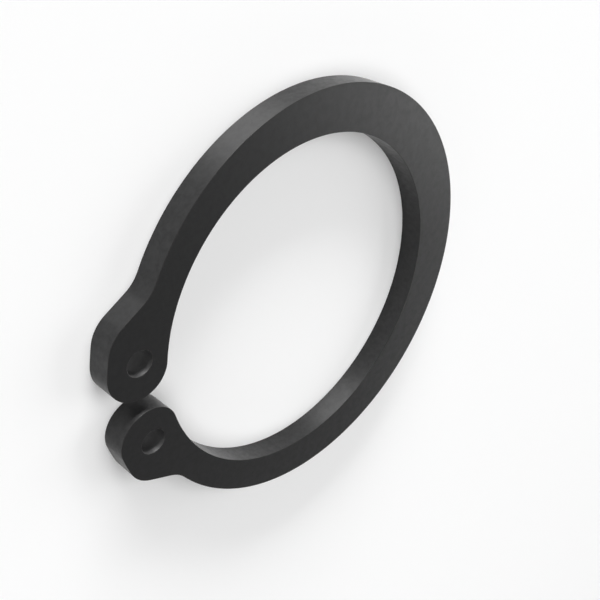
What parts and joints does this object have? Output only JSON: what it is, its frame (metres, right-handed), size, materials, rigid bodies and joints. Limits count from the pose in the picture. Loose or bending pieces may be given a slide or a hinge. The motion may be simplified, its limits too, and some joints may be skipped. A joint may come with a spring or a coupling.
{
  "type": "external retaining ring",
  "caption": "Flat open snap ring of tapered width with two plier lugs. It springs into a shaft's groove and stops a part sliding off the shaft.",
  "frame": {"origin": "centre of the bore, on the ring's underside", "axes": "+Z along the bore axis, up from the underside; -Y towards the gap and the lugs; X across the gap, from lug to lug; mirror-symmetric about the YZ plane"},
  "size_m": [0.017, 0.0182, 0.001],
  "materials": {
    "black_spring_steel": "satin"
  },
  "bodies": {
    "root": {"ring": "black_spring_steel"}
  },
  "joints": []
}
